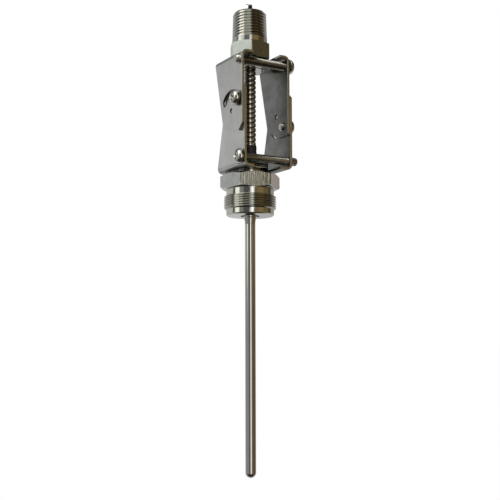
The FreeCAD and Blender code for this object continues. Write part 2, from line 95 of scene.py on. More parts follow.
class Bench:
    """Node tree of a finish or of the studio while it is wired."""

    def __init__(self, tree):
        self.tree = tree

    def node(self, kind, settings=None, inputs=None, output=0):
        """Add a node, its settings first and then its sockets' values or links."""
        made = self.tree.nodes.new(kind)
        for key, setting in (settings or {}).items():
            if key == "stops":
                self.set_stops(made.color_ramp, setting)
            else:
                setattr(made, key, setting)
        for key, given in (inputs or {}).items():
            if isinstance(given, Wire):
                self.tree.links.new(given.output, made.inputs[key])
            else:
                made.inputs[key].default_value = given
        return Wire(self, made.outputs[output])

    def set_stops(self, ramp, stops):
        """Give a colour ramp its stops, each a place from 0 to 1 and a colour."""
        for i, (place, colour) in enumerate(stops):
            stop = ramp.elements[i] if i < len(ramp.elements) else ramp.elements.new(place)
            stop.position = place
            stop.color = solid(colour)

    def place(self):
        return self.node("ShaderNodeTexCoord", output="Object")

    def stretched(self, vector, scale):
        return self.node("ShaderNodeMapping", {}, {"Vector": vector, "Scale": scale})

    def parts(self, vector):
        """The three numbers of a vector."""
        return [self.node("ShaderNodeSeparateXYZ", {}, {"Vector": vector}, axis) for axis in "XYZ"]

    def noise(self, vector, scale, detail=2.0, rough=0.5):
        return self.node("ShaderNodeTexNoise", {}, {
            "Vector": vector, "Scale": scale, "Detail": detail, "Roughness": rough})

    def mixed(self, share, first, second):
        """Colour between two, by a share from 0 to 1."""
        return self.node("ShaderNodeMix", {"data_type": "RGBA"}, {0: share, 6: first, 7: second}, 2)

    def between(self, number, low, high):
        """Smooth step of a number from 0 at low to 1 at high."""
        return self.node("ShaderNodeMapRange", {"interpolation_type": "SMOOTHSTEP"}, {
            "Value": number, "From Min": low, "From Max": high})

    def bump(self, height, depth):
        """Normal from a height between 0 and 1, its depth in millimetres."""
        return self.node("ShaderNodeBump", {}, {"Height": height, "Distance": depth * MM, "Strength": 1.0})


class Finish(Bench):
    """A material with one shader, whose constant values are set on its own sockets."""

    def __init__(self, name, **constants):
        self.material = bpy.data.materials.new(name)
        self.material.use_nodes = True
        super().__init__(self.material.node_tree)
        self.shader = self.tree.nodes["Principled BSDF"]
        for key, number in constants.items():
            self.shader.inputs[key.replace("_", " ")].default_value = number

    def feed(self, socket, wire):
        """Link a wire to one of the shader's sockets."""
        self.tree.links.new(wire.output, self.shader.inputs[socket])


def darker(colour, share):
    """Colour with each part brought down to a share of itself."""
    return tuple(part * share for part in colour)


def solid(colour):
    """Colour with the opacity that a socket asks for."""
    return (*colour, 1)


def grey(level):
    return (level, level, level)


def steel(name, colour, rough, lines_of, line_depth, rough_spread=0.08, stain=0.88):
    """Stainless or plated steel: fine tool lines, and faint wide stains in tone and gloss."""
    finish = Finish(name, Metallic=1.0)
    place = finish.place()
    lines = lines_of(finish, place)
    stains = finish.noise(place, 110, 3.0, 0.6)
    flecks = finish.noise(place, 1500, 2.0)
    tone = finish.between(stains * 0.7 + flecks * 0.3, 0.35, 0.7)
    finish.feed("Base Color", finish.mixed(tone, solid(colour), solid(darker(colour, stain))))
    finish.feed("Roughness", rough + (lines - 0.5) * rough_spread + (stains - 0.5) * rough_spread)
    finish.feed("Normal", finish.bump(lines, line_depth))
    return finish.material


def drawn_lines(finish, place):
    """Lines along the probe, as drawing and grinding leave them."""
    return finish.noise(finish.stretched(place, (1, 1, 0.02)), 4200, 3.0, 0.6)


def ground_lines(finish, place):
    """Streaks along the probe on a hexagon's flats, about a millimetre apart, over finer ones."""
    along = finish.stretched(place, (1, 1, 0.03))
    return finish.noise(along, 1100, 2.0, 0.5) * 0.7 + finish.noise(along, 5200, 2.0, 0.6) * 0.3


def rolled_lines(finish, place):
    """Short fine grain along the sheet's length."""
    return finish.noise(finish.stretched(place, (1, 1, 0.06)), 5200, 4.0, 0.65)


def turned_lines(finish, place):
    """Rings round the probe's axis, as a lathe tool leaves them."""
    x, y, z = finish.parts(place)
    radius = (x * x + y * y) ** 0.5
    return finish.noise(finish.node("ShaderNodeCombineXYZ", {}, {"X": radius, "Y": z}), 5200, 2.0, 0.7)


def screw_lines(centre):
    """Rings round a screw that lies along X through a centre in Y and Z."""
    def lines(finish, place):
        x, y, z = finish.parts(place)
        off_y = y - centre[0] * MM
        off_z = z - centre[1] * MM
        radius = (off_y * off_y + off_z * off_z) ** 0.5
        return finish.noise(finish.node("ShaderNodeCombineXYZ", {}, {"X": radius, "Y": x}), 4000, 2.0, 0.7)
    return lines


def strip_lines(finish, place):
    """Faint rolled grain on the armour's strip."""
    return finish.noise(finish.stretched(place, (0.3, 0.3, 1)), 5200, 3.0, 0.6)


def plain(name, colour, rough, grain, depth, tone=0.6, rough_spread=0.1):
    """Plastic, rubber or ceramic: a fine grain with a little change of tone and gloss."""
    finish = Finish(name, Metallic=0.0)
    place = finish.place()
    fine = finish.noise(place, grain, 3.0, 0.6)
    wide = finish.noise(place, grain * 0.12, 2.0)
    share = finish.between(wide * 0.6 + fine * 0.4, 0.35, 0.65)
    finish.feed("Base Color", finish.mixed(share, solid(colour), solid(darker(colour, tone))))
    finish.feed("Roughness", rough + (fine - 0.5) * rough_spread)
    finish.feed("Normal", finish.bump(fine, depth))
    return finish.material


SHEET_STEEL = steel("sheet_steel", (0.71, 0.71, 0.695), 0.30, rolled_lines, 0.003)
# Painted shade: a darker sheet for the faces inside the yoke and the lower base's underside, where shade
# falls
SHEET_PAINTED_SHADE = steel("sheet_painted_shade", (0.30, 0.305, 0.29), 0.34, rolled_lines, 0.003, 0.1, 0.6)
# Painted shade: a dark finish for the walls of the legs' slots and holes, which lie in shadow
SLOT_WALL_SHADE = steel("slot_wall_painted_shade", (0.16, 0.15, 0.12), 0.42, rolled_lines, 0.006)
TURNED_STEEL = steel("turned_steel", (0.64, 0.63, 0.585), 0.055, turned_lines, 0.0006, 0.04)
BAR_STEEL = steel("bar_steel", (0.60, 0.615, 0.585), 0.12, ground_lines, 0.08, 0.08, 0.8)
TUBE_STEEL = steel("tube_steel", (0.66, 0.65, 0.62), 0.1, drawn_lines, 0.0006, 0.04, 0.93)
STRIP_STEEL = steel("strip_steel", (0.80, 0.745, 0.67), 0.17, strip_lines, 0.001, 0.05)
# Painted shade: a darker steel for the flanks of the threads, as shade in their grooves
THREAD_FLANK_SHADE = steel("thread_flank_painted_shade", (0.44, 0.43, 0.385), 0.1, turned_lines, 0.0008, 0.05)
# Painted shade: a near-black steel for the grooves between the armour's turns
STRIP_GROOVE_SHADE = steel("strip_groove_painted_shade", (0.12, 0.11, 0.095), 0.4, strip_lines, 0.001)
# Painted shade: a darker steel for the upper cross screw's shank where it lies between the legs
SHANK_SHADE = steel("shank_painted_shade", (0.40, 0.375, 0.325), 0.16, rolled_lines, 0.001)
WASHER_STEEL = steel("washer_steel", (0.11, 0.105, 0.095), 0.3, rolled_lines, 0.002)
SLEEVE_BLACK = plain("sleeve_black", (0.022, 0.021, 0.02), 0.5, 1400, 0.012)
LEAD_BLACK = plain("lead_black", (0.02, 0.016, 0.014), 0.38, 2600, 0.006)
POTTING = plain("potting", (0.075, 0.075, 0.078), 0.42, 700, 0.02)
CERAMIC = plain("ceramic", (0.85, 0.83, 0.78), 0.75, 2400, 0.012, 0.86)
COPPER = steel("bare_copper", (0.80, 0.42, 0.26), 0.28, drawn_lines, 0.003, 0.1, 0.7)


def fastener_steel(name, centre):
    """Bright steel with the rings of one screw or pin."""
    return steel(name, (0.65, 0.63, 0.585), 0.085, screw_lines(centre), 0.0008, 0.05)


# Modelling

def alone(piece):
    """Leave one piece selected and active, in object mode."""
    if bpy.context.mode != "OBJECT":
        bpy.ops.object.mode_set(mode="OBJECT")
    bpy.ops.object.select_all(action="DESELECT")
    piece.select_set(True)
    bpy.context.view_layer.objects.active = piece


def tidy_shell(piece):
    """Merge doubled points and turn the faces outwards."""
    alone(piece)
    bpy.ops.object.mode_set(mode="EDIT")
    bpy.ops.mesh.select_all(action="SELECT")
    bpy.ops.mesh.remove_doubles(threshold=0.0005 * MM)
    bpy.ops.mesh.normals_make_consistent(inside=False)
    bpy.ops.object.mode_set(mode="OBJECT")
    return piece


def face_outwards(piece):
    """Turn an open tube's faces away from the probe's axis."""
    inward = sum(face.normal.dot(Vector((*face.center.xy, 0))) < 0 for face in piece.data.polygons)
    if inward * 2 > len(piece.data.polygons):
        alone(piece)
        bpy.ops.object.mode_set(mode="EDIT")
        bpy.ops.mesh.select_all(action="SELECT")
        bpy.ops.mesh.flip_normals()
        bpy.ops.object.mode_set(mode="OBJECT")


def drawn_line(name, spots):
    """Line of edges through spots, drawn by pulling one point along."""
    bpy.ops.object.select_all(action="DESELECT")
    bpy.ops.mesh.primitive_plane_add(size=MM)
    piece = bpy.context.object
    piece.name = name
    bpy.ops.object.mode_set(mode="EDIT")
    bpy.ops.mesh.select_all(action="SELECT")
    bpy.ops.mesh.merge(type="CENTER")
    here = Vector(spots[0]) * MM
    bpy.ops.transform.translate(value=here)
    for spot in spots[1:]:
        step = Vector(spot) * MM - here
        bpy.ops.mesh.extrude_region_move(TRANSFORM_OT_translate={"value": step})
        here += step
    bpy.ops.object.mode_set(mode="OBJECT")
    return piece


def turning(name, profile, steps=96):
    """Lathe piece from a profile in radius and height, closed or ending on the axis."""
    piece = drawn_line(name, [(radius, 0, height) for radius, height in profile])
    alone(piece)
    bpy.ops.object.mode_set(mode="EDIT")
    bpy.ops.mesh.select_all(action="SELECT")
    bpy.ops.mesh.spin(steps=steps, angle=math.tau, center=(0, 0, 0), axis=(0, 0, 1))
    bpy.ops.object.mode_set(mode="OBJECT")
    return tidy_shell(piece)


def arc(centre, radius, start, end, count):
    """Profile points on an arc, with angles in degrees from the radial direction."""
    angles = [math.radians(start + (end - start) * i / count) for i in range(count + 1)]
    return [(centre[0] + radius * math.cos(a), centre[1] + radius * math.sin(a)) for a in angles]


def apply(piece, modifier):
    """Make a modifier's result the piece's own mesh."""
    alone(piece)
    bpy.ops.object.modifier_apply(modifier=modifier.name)
    return piece


def bevelled(piece, width, segments=2, angle=32):
    """Break the sharp edges."""
    bevel = piece.modifiers.new("broken_edges", "BEVEL")
    bevel.limit_method = "ANGLE"
    bevel.angle_limit = math.radians(angle)
    bevel.width = width * MM
    bevel.segments = segments
    return apply(piece, bevel)


def combined(piece, tool, operation):
    """Join a tool to a piece, cut it away or keep what both share. The tool is used up."""
    step = piece.modifiers.new(operation.lower(), "BOOLEAN")
    step.operation = operation
    step.solver = "MANIFOLD"
    step.material_mode = "TRANSFER"
    step.object = tool
    apply(piece, step)
    bpy.data.objects.remove(tool)
    return piece


def joined(pieces):
    """Make one piece of several, the first of which lends its name."""
    alone(pieces[0])
    for piece in pieces[1:]:
        piece.select_set(True)
    bpy.ops.object.join()
    return pieces[0]


def painted(piece, finish):
    """Give the whole piece one finish."""
    piece.data.materials.clear()
    piece.data.materials.append(finish)
    return piece


def select_points(piece, wanted):
    """In edit mode, select the points that wanted accepts, and the edges between them."""
    mesh = bmesh.from_edit_mesh(piece.data)
    for point in mesh.verts:
        point.select = wanted(point)
    mesh.select_flush_mode()
    bmesh.update_edit_mesh(piece.data)


def swept(piece, pitch, turns, steps):
    """Wind a profile up the Z axis as a right-hand helix."""
    winding = piece.modifiers.new("winding", "SCREW")
    winding.axis = "Z"
    winding.angle = math.tau
    winding.screw_offset = pitch * MM
    winding.iterations = turns
    winding.steps = steps
    winding.render_steps = steps
    winding.use_merge_vertices = True
    winding.merge_threshold = 0.0005 * MM
    return apply(piece, winding)


def thread(name, crest, root, pitch, turns, steps=72):
    """Solid ring with a right-hand thread outside, rising from the XY plane."""
    land = pitch / 8
    ridge = [(root, 0), (root, land), (crest, pitch / 2), (crest, pitch / 2 + land), (root, pitch)]
    inside = root - (crest - root)
    outer = drawn_line(name, [(radius, 0, height) for radius, height in ridge])
    inner = drawn_line(name + "_bore", [(inside, 0, height) for _, height in ridge])
    joined([outer, inner])
    tidy_shell(swept(outer, pitch, turns, steps))
    bpy.ops.object.mode_set(mode="EDIT")
    for low, high in ((-1, 1.5 * pitch), ((turns - 0.5) * pitch, (turns + 2) * pitch)):
        bpy.ops.mesh.select_mode(type="EDGE")
        mesh = bmesh.from_edit_mesh(outer.data)
        for edge in mesh.edges:
            level = sum(point.co.z for point in edge.verts) / 2 / MM
            edge.select_set(edge.is_boundary and low < level < high)
        bmesh.update_edit_mesh(outer.data)
        bpy.ops.mesh.bridge_edge_loops()
    bpy.ops.mesh.select_mode(type="VERT")
    bpy.ops.object.mode_set(mode="OBJECT")
    return tidy_shell(outer)


def on_flank(spot, normal):
    """Sloping sides of a thread round the Z axis, which get a darker finish as painted shade."""
    return normal.xy.length < 0.8


def moved(piece, x, y, z):
    """Set a piece in its place, leaving its origin at the probe's."""
    alone(piece)
    piece.location = Vector((x, y, z)) * MM
    bpy.ops.object.transform_apply(location=True, rotation=True, scale=True)
    return piece


def hexagon(name, flats, bottom, top, turn, bore, rounding=0.3):
    """Hexagon ring with chamfered corners and slightly rounded upright edges."""
    bpy.ops.object.select_all(action="DESELECT")
    bpy.ops.mesh.primitive_cylinder_add(
        vertices=6, radius=flats / math.sqrt(3) * MM, depth=2 * (top - bottom) * MM,
        location=(0, 0, (bottom + top) / 2 * MM), rotation=(0, 0, math.radians(turn)))
    bar = bpy.context.object
    bar.name = name
    bpy.ops.object.transform_apply(location=True, rotation=True, scale=True)
    bpy.ops.object.mode_set(mode="EDIT")
    mesh = bmesh.from_edit_mesh(bar.data)
    bpy.ops.mesh.select_mode(type="EDGE")
    for edge in mesh.edges:
        low, high = sorted(point.co.z for point in edge.verts)
        edge.select_set(high - low > (top - bottom) * MM)
    bmesh.update_edit_mesh(bar.data)
    bpy.ops.mesh.bevel(offset=rounding * MM, offset_type="OFFSET", segments=4, affect="EDGES")
    bpy.ops.mesh.select_mode(type="VERT")
    bpy.ops.object.mode_set(mode="OBJECT")
    start = flats / 2 * 0.985
    reach = flats * 0.65
    drop = (reach - start) / 2
    envelope = turning(name + "_chamfers", [
        (bore, bottom), (start, bottom), (reach, bottom + drop), (reach, top - drop), (start, top),
        (bore, top), (bore, bottom)])
    return combined(bar, envelope, "INTERSECT")


def lined(piece, finish, wanted):
    """Give the faces that wanted accepts a finish of their own."""
    alone(piece)
    piece.data.materials.append(finish)
    piece.active_material_index = len(piece.data.materials) - 1
    bpy.ops.object.mode_set(mode="EDIT")
    bpy.ops.mesh.select_mode(type="FACE")
    mesh = bmesh.from_edit_mesh(piece.data)
    for face in mesh.faces:
        face.select_set(wanted(face.calc_center_median() / MM, face.normal))
    bmesh.update_edit_mesh(piece.data)
    bpy.ops.object.material_slot_assign()
    bpy.ops.mesh.select_mode(type="VERT")
    bpy.ops.object.mode_set(mode="OBJECT")
    return piece


def copy_of(piece, name):
    """Copy with a mesh of its own."""
    twin = bpy.data.objects.new(name, piece.data.copy())
    scene.collection.objects.link(twin)
    return twin


def laid_across(piece, x, y, z, to_right):
    """Lay an upright piece along X, its top to the right or the left, and set it in its place."""
    alone(piece)
    piece.rotation_euler = (0, math.radians(90 if to_right else -90), 0)
    return moved(piece, x, y, z)


def fit(piece, node, body, angle=30):
    """Shade a finished piece and let it stand for its CAD node."""
    alone(piece)
    bpy.ops.object.shade_smooth_by_angle(angle=math.radians(angle))
    shading = piece.modifiers.new("flat_faces", "WEIGHTED_NORMAL")
    shading.keep_sharp = True
    apply(piece, shading)
    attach(piece, body)
    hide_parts(node)
    return piece


# Heights, radii and places that several pieces share
STEM_RADIUS = 3.175
STEM_TIP = -160
STEM_TOP = 10
BRAZE_RADIUS = 3.0
BRAZE_END = -9.4
COLLAR_TOP = 3.2
LEAD_BORE = 2.6
LOWER_BASE = 22.1
UPPER_BASE = 91.7
LOWER_TENON_TOP = 28.3
UPPER_TENON_END = 85.5
TENON = 8.8
TENON_CORE = 7.95
TENON_CHAMFER = 0.2
TENON_LEAD_IN = 0.9
TENON_WITHIN = 6
TENON_BEYOND = 9
ARMOUR_BOTTOM = 25.3
ARMOUR_TOP = 85.2
ARMOUR_PITCH = 2.95
NIPPLE_TOP = 122.1
SEAL_BOTTOM = 95.2
SEAL_TOP = 118.1
LEG_INSIDE = 14
HINGE = (-7.5, 56.9)


def stem_tube():
    """Closed tube with a round tip, turned down where the collar is brazed on."""
    bore = 2.525
    bore_end = -157.6
    flat = 0.05
    tip = arc((flat, STEM_TIP + STEM_RADIUS - flat), STEM_RADIUS - flat, -90, 0, 10)
    tube = turning("stem_tube", [
        (0, STEM_TIP), *tip, (STEM_RADIUS, BRAZE_END), (BRAZE_RADIUS, BRAZE_END), (BRAZE_RADIUS, STEM_TOP),
        (bore, STEM_TOP), (bore, bore_end), (0, bore_end)], 64)
    fit(painted(tube, TUBE_STEEL), "stem_sheath", STEM)


def stem_collar():
    """Ring on the stem, with the braze drawn down to it in a hollow curve."""
    neck = 4.15
    rim = 5.72
    rim_foot = -0.5
    flare_top = -4.2
    flare_spread = 0.975
    flare_length = 5.2
    flare = [(STEM_RADIUS + flare_spread * (1 - share) ** 2, flare_top - flare_length * share)
             for share in (0, 0.15, 0.3, 0.45, 0.6, 0.8, 1)]
    collar = turning("collar_ring", [
        (BRAZE_RADIUS, BRAZE_END), *reversed(flare), (neck, rim_foot), (rim, rim_foot), (rim, COLLAR_TOP),
        (BRAZE_RADIUS, COLLAR_TOP), (BRAZE_RADIUS, BRAZE_END)], 64)
    fit(painted(bevelled(collar, 0.1), TURNED_STEEL), "stem_collar", STEM)


def tenon_thread(name, bottom, top):
    """Thread for a retaining nut, a little longer than the tenon between two heights."""
    pitch = 1.5
    depth = 0.85
    ridges = thread(name, TENON, TENON - depth, pitch, int((top - bottom) / pitch) + 2)
    return moved(ridges, 0, 0, bottom - pitch)


def stem_bushing():
    """Spigot for the union nut, flange under the lower yoke, and a threaded tenon with the hose's seat."""
    spigot = 4.72
    flange = 11
    flange_foot = 20.9
    seat = 3.75
    blank = turning("bushing_turning", [
        (BRAZE_RADIUS, COLLAR_TOP), (spigot, COLLAR_TOP), (spigot, flange_foot), (flange, flange_foot),
        (flange, LOWER_BASE), (TENON_CORE, LOWER_BASE), (TENON_CORE, LOWER_TENON_TOP - TENON_CHAMFER),
        (TENON_CORE - TENON_CHAMFER, LOWER_TENON_TOP), (seat, LOWER_TENON_TOP), (seat, ARMOUR_BOTTOM),
        (LEAD_BORE, ARMOUR_BOTTOM), (LEAD_BORE, STEM_TOP), (BRAZE_RADIUS, STEM_TOP),
        (BRAZE_RADIUS, COLLAR_TOP)])
    bevelled(blank, 0.15)
    ridges = tenon_thread("bushing_thread", LOWER_BASE, LOWER_TENON_TOP)
    foot = LOWER_BASE - 0.2
    limit = turning("bushing_thread_limit", [
        (TENON_WITHIN, foot), (TENON_BEYOND, foot), (TENON_BEYOND, LOWER_TENON_TOP - TENON_LEAD_IN),
        (TENON_BEYOND - TENON_LEAD_IN, LOWER_TENON_TOP), (TENON_WITHIN, LOWER_TENON_TOP),
        (TENON_WITHIN, foot)])
    combined(blank, combined(ridges, limit, "INTERSECT"), "UNION")
    fit(painted(blank, TURNED_STEEL), "stem_bushing", STEM)


def union_nut():
    """Loose nut: hexagon, undercut, fine male thread and a plain pilot below it."""
    core = 14.55
    foot = -4.4
    top = 20.55
    chamfer = 0.7
    bore = 4.8
    collar_bore = 5.8
    collar_seat = 3.5
    blank = turning("union_nut_turning", [
        (collar_bore, foot), (core - chamfer, foot), (core, foot + chamfer), (core, top), (bore, top),
        (bore, collar_seat), (collar_bore, collar_seat), (collar_bore, foot)])
    painted(bevelled(blank, 0.12), TURNED_STEEL)
    crest = 15.875
    root = 15.05
    pitch = 1.411
    ridges = thread("union_thread", crest, root, pitch, turns=9, steps=96)
    moved(ridges, 0, 0, -2.2)
    within = 13.5
    beyond = 16.2
    thread_foot = 0.17
    thread_top = 7.03
    run_out = 1.42
    limit = turning("union_thread_limit", [
        (within, thread_foot - run_out), (beyond, thread_foot), (beyond, thread_top),
        (within, thread_top + run_out), (within, thread_foot - run_out)])
    painted(combined(ridges, limit, "INTERSECT"), TURNED_STEEL)
    # Painted shade on the thread's flanks
    lined(ridges, THREAD_FLANK_SHADE, on_flank)
    ring = hexagon("union_hexagon", flats=32.2, bottom=11.6, top=20.6, turn=11.2, bore=10, rounding=0.7)
    painted(ring, BAR_STEEL)
    for part in (ridges, ring):
        combined(blank, part, "UNION")
    fit(blank, "union_nut", NUT)


def conduit_nipple():
    """Hexagon with a taper pipe thread above it and a threaded tenon below."""
    collar = 10.8
    collar_top = 105.3
    hexagon_core = collar - 0.8
    hexagon_top = 101
    core_foot = (9.65, 105.7)
    core_top = (9.15, 121.8)
    mouth = 8.85
    bore = 7.2
    end = 122.05
    blank = turning("nipple_turning", [
        (LEAD_BORE, UPPER_TENON_END), (TENON_CORE - TENON_CHAMFER, UPPER_TENON_END),
        (TENON_CORE, UPPER_TENON_END + TENON_CHAMFER), (TENON_CORE, UPPER_BASE),
        (hexagon_core, UPPER_BASE + 0.1), (hexagon_core, hexagon_top), (collar, hexagon_top),
        (collar, collar_top), core_foot, core_top, (mouth, end), (bore, end), (bore, SEAL_BOTTOM),
        (LEAD_BORE, SEAL_BOTTOM), (LEAD_BORE, UPPER_TENON_END)])
    painted(bevelled(blank, 0.15), TURNED_STEEL)
    pitch = 1.814
    start = 103.6
    root = 9.75
    ridges = thread("nipple_thread", collar, root, pitch, turns=11, steps=96)
    taper = ridges.modifiers.new("pipe_taper", "SIMPLE_DEFORM")
    taper.deform_method = "TAPER"
    taper.deform_axis = "Z"
    height = 12 * pitch
    taper.factor = -height / 32 / collar
    apply(ridges, taper)
    moved(ridges, 0, 0, start)
    within = 7.6
    beyond = 11.5
    foot = 104.4
    lead_in = 2.625
    limit = turning("nipple_thread_limit", [
        (within, foot), (beyond, foot), (beyond, NIPPLE_TOP - lead_in), (beyond - lead_in, NIPPLE_TOP),
        (within, NIPPLE_TOP), (within, foot)])
    painted(combined(ridges, limit, "INTERSECT"), TURNED_STEEL)
    # Painted shade on the thread's flanks
    lined(ridges, THREAD_FLANK_SHADE, on_flank)
    tenon = tenon_thread("nipple_tenon_thread", UPPER_TENON_END, UPPER_BASE)
    tenon_top = UPPER_BASE + 0.1
    tenon_limit = turning("nipple_tenon_limit", [
        (TENON_WITHIN, UPPER_TENON_END), (TENON_BEYOND - TENON_LEAD_IN, UPPER_TENON_END),
        (TENON_BEYOND, UPPER_TENON_END + TENON_LEAD_IN), (TENON_BEYOND, tenon_top), (TENON_WITHIN, tenon_top),
        (TENON_WITHIN, UPPER_TENON_END)])
    painted(combined(tenon, tenon_limit, "INTERSECT"), TURNED_STEEL)
    ring = hexagon("nipple_hexagon", flats=22.8, bottom=UPPER_BASE, top=102, turn=35.9, bore=8.5)
    painted(ring, BAR_STEEL)
    for part in (ridges, tenon, ring):
        combined(blank, part, "UNION")
    fit(blank, "conduit_nipple", HEAD)


def retaining_nut(name, node, bottom, body):
    """Thin nut that clamps a yoke's base."""
    thickness = 4.5
    nut = hexagon(name, flats=22, bottom=bottom, top=bottom + thickness, turn=30, bore=TENON)
    fit(painted(nut, BAR_STEEL), node, body)


def in_yoke_painted_shade(spot, normal):
    """Faces of the sheet that look into the yoke, and the lower base's underside, which get a darker sheet as
    painted shade.
    """
    lower_base_top = 24
    if abs(normal.y) > 0.3:
        return False
    if spot.z < lower_base_top and normal.z < -0.6:
        return True
    if abs(spot.x) > LEG_INSIDE:
        return normal.x * spot.x < -1
    return normal.z * (HINGE[1] - spot.z) > 0


def in_slot_or_hole(spot, normal):
    """Walls of a leg's arc slot and of its holes round the hinge, which get a dark finish as painted shade.
    """
    slot_reach = 12.9
    hole_reach = 9
    off = Vector((spot.y - HINGE[0], spot.z - HINGE[1]))
    if abs(normal.x) > 0.3 or abs(spot.x) < LEG_INSIDE or off.length > slot_reach:
        return False
    outward = normal.yz.dot(off.normalized())
    return off.length < hole_reach or outward < 0.7


def yoke(name, node, body):
    """Folded sheet yoke: the CAD shape with its cut edges broken, and painted shade inside it and on its slot
    walls.
    """
    piece = copy_of(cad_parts[node], name)
    alone(piece)
    bpy.ops.mesh.customdata_custom_splitnormals_clear()
    bpy.ops.object.mode_set(mode="EDIT")
    bpy.ops.mesh.select_all(action="SELECT")
    bpy.ops.mesh.remove_doubles(threshold=0.001 * MM)
    bpy.ops.mesh.dissolve_limited(angle_limit=math.radians(0.4))
    bpy.ops.object.mode_set(mode="OBJECT")
    painted(bevelled(piece, 0.25, 3, 40), SHEET_STEEL)
    # Painted shade on the faces inside the yoke and under the lower base
    lined(piece, SHEET_PAINTED_SHADE, in_yoke_painted_shade)
    # Painted shade on the walls of the slots and holes
    lined(piece, SLOT_WALL_SHADE, in_slot_or_hole)
    fit(piece, node, body)


def cross_recess_tool():
    """Tapered cross that cuts a screw head's driver recess."""
    span = 5.2
    width = 1.3
    height = 3
    middle = 2.6
    floor = 1.1
    arms = []
    for turn in (0, 90):
        bpy.ops.object.select_all(action="DESELECT")
        bpy.ops.mesh.primitive_cube_add(size=1, location=(0, 0, middle * MM))
        arm = bpy.context.object
        arm.scale = (span * MM, width * MM, height * MM)
        arm.rotation_euler = (0, 0, math.radians(turn))
        bpy.ops.object.transform_apply(location=True, rotation=True, scale=True)
        bpy.ops.object.mode_set(mode="EDIT")
        select_points(arm, lambda point: point.co.z < middle * MM)
        bpy.ops.transform.resize(value=(0.5, 0.5, 1), center_override=(0, 0, floor * MM))
        bpy.ops.object.mode_set(mode="OBJECT")
        arms.append(arm)
    return combined(arms[0], arms[1], "UNION")


def pan_screw(name, length, threaded):
    """Screw with its domed head above the XY plane and a thread that ends a little short of it."""
    head = 4.75
    head_top = 3.1
    dome_radius = 2.9
    dome = arc((head - dome_radius, 0.2), dome_radius, 0, 84, 12)
    shank = 2.5
    neck = 2.6
    root = 2.08
    thread_end = threaded - length
    blank = turning(name, [
        (0, -length), (root - 0.1, -length), (root, 0.1 - length), (root, thread_end - 0.3),
        (shank, thread_end), (shank, -0.3), (neck, 0), (head - 0.15, 0), (head, 0.15), *dome,
        (1.2, head_top), (0, head_top)], 64)
    combined(blank, cross_recess_tool(), "DIFFERENCE")
    pitch = 0.8
    ridges = thread(name + "_thread", shank, root - 0.02, pitch, int(threaded / pitch) + 3, 40)
    moved(ridges, 0, 0, -length - 1)
    within = 1.2
    lead_in = 0.6
    limit = turning(name + "_thread_limit", [
        (within, -length), (neck - lead_in, -length), (neck, lead_in - length), (neck, thread_end),
        (within, thread_end), (within, -length)], 40)
    combined(blank, combined(ridges, limit, "INTERSECT"), "UNION")
    return blank


def split_washer():
    """Spring washer, cut through and bent so that its ends stand a little apart."""
    gap = math.radians(14)
    rise = 0.13
    thickness = 0.87
    bore = 2.65
    rim = 4.3
    section = [(bore, 0), (rim, 0), (rim, thickness), (bore, thickness), (bore, 0)]
    ring = drawn_line("split_washer", [(radius, 0, height) for radius, height in section])
    tidy_shell(ring)
    coil = ring.modifiers.new("coil", "SCREW")
    coil.axis = "Z"
    coil.angle = math.tau - gap
    coil.screw_offset = rise * MM
    coil.iterations = 1
    coil.steps = 64
    coil.render_steps = 64
    apply(ring, coil)
    bpy.ops.object.mode_set(mode="EDIT")
    bpy.ops.mesh.select_all(action="DESELECT")
    bpy.ops.mesh.select_non_manifold(use_wire=False, use_multi_face=False, use_non_contiguous=False,
                                     use_verts=False)
    bpy.ops.mesh.fill_holes(sides=0)
    bpy.ops.object.mode_set(mode="OBJECT")
    return bevelled(tidy_shell(ring), 0.1)


def pivot_pin(name, node, x, to_right, body, finish):
    """Hinge pin, sunk below the faces of the legs, with rounded-off ends."""
    low = 0.5
    high = 2.6
    crown = [(0.9, 0.03), (1.25, 0.12), (1.44, 0.3), (1.5, 0.5)]
    pin = turning(name, [
        (0, low), *((radius, low + drop) for radius, drop in crown),
        *((radius, high - drop) for radius, drop in reversed(crown)), (0, high)], 48)
    laid_across(pin, x, *HINGE, to_right)
    fit(painted(pin, finish), node, body)


def fasteners():
    """Screws, washers and pins of both yokes."""
    cross_y = -17.2
    leg_face = 14.2
    washer = split_washer()
    # Name, place under the washer, whether the head is on the right, body, length and threaded length
    places = [
        ("lower_cross", -15.7, cross_y, 27.9, False, STEM, 38.7, 36),
        ("upper_cross", 15.7, cross_y, 85.9, True, HEAD, 36.7, 34),
        ("left_lock", -17.4, -15.38, 63.057, False, STEM, 5.3, 4.6),
        ("right_lock", 17.4, -14.191, 49.469, True, HEAD, 5.3, 4.6)]
    for name, x, y, z, to_right, body, length, threaded in places:
        finish = fastener_steel(name + "_steel", (y, z))
        ring = laid_across(copy_of(washer, name + "_spring_washer"), x, y, z, to_right)
        fit(painted(ring, WASHER_STEEL), name + "_washer", body)
        out = 1 if to_right else -1
        screw = laid_across(pan_screw(name + "_pan_screw", length, threaded), x + out, y, z, to_right)
        painted(screw, finish)
        if name == "upper_cross":
            # Painted shade: the shank between the legs is darker
            under_head = abs(x) + 0.9
            lined(screw, SHANK_SHADE, lambda spot, normal: abs(spot.x) < under_head)
        fit(screw, name + "_screw", body)
    bpy.data.objects.remove(washer)
    pin_steel = fastener_steel("pin_steel", HINGE)
    pivot_pin("left_pin", "left_pivot_pin", -leg_face, False, STEM, pin_steel)
    pivot_pin("right_pin", "right_pivot_pin", leg_face, True, HEAD, pin_steel)


